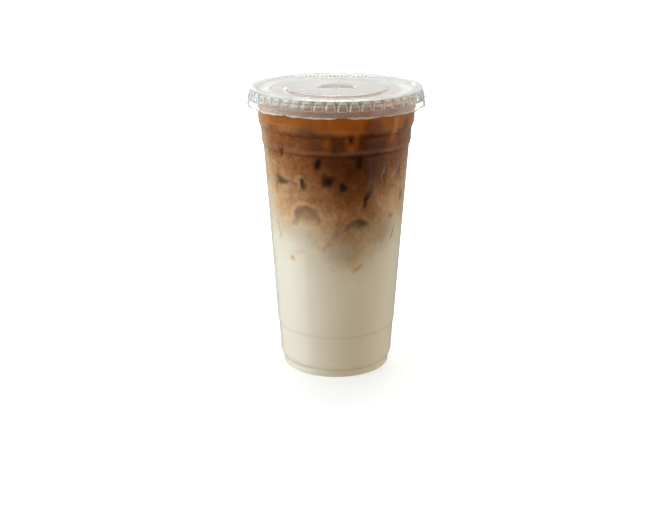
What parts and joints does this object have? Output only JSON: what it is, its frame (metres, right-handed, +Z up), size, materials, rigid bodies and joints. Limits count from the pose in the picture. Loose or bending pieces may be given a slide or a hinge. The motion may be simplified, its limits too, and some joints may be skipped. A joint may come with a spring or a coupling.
{
  "type": "iced coffee",
  "caption": "Tall clear cold cup with a flat push-on lid, filled with milk, latte and coffee in layers, with ice sunk in the drink.",
  "frame": {"origin": "middle of the foot ring's resting plane, under the cup's axis", "axes": "+Z up along the cup's axis towards the lid; +X and +Y along the two arms of the crossed straw slit, with -Y the shown side"},
  "size_m": [0.103, 0.103, 0.1695],
  "materials": {
    "clear_cup": "clear thin PET, smooth and glossy",
    "clear_lid": "clear thin PET, glossy, with fine moulded ribs",
    "milk": "cold milk, opaque off-white",
    "latte": "milk mixed with coffee, tan to brown, cloudy",
    "coffee": "coffee, dark and slightly clear"
  },
  "bodies": {
    "root": {"cup": "clear_cup", "lid": "clear_lid", "milk": "milk", "latte": "latte", "coffee": "coffee"}
  },
  "joints": []
}
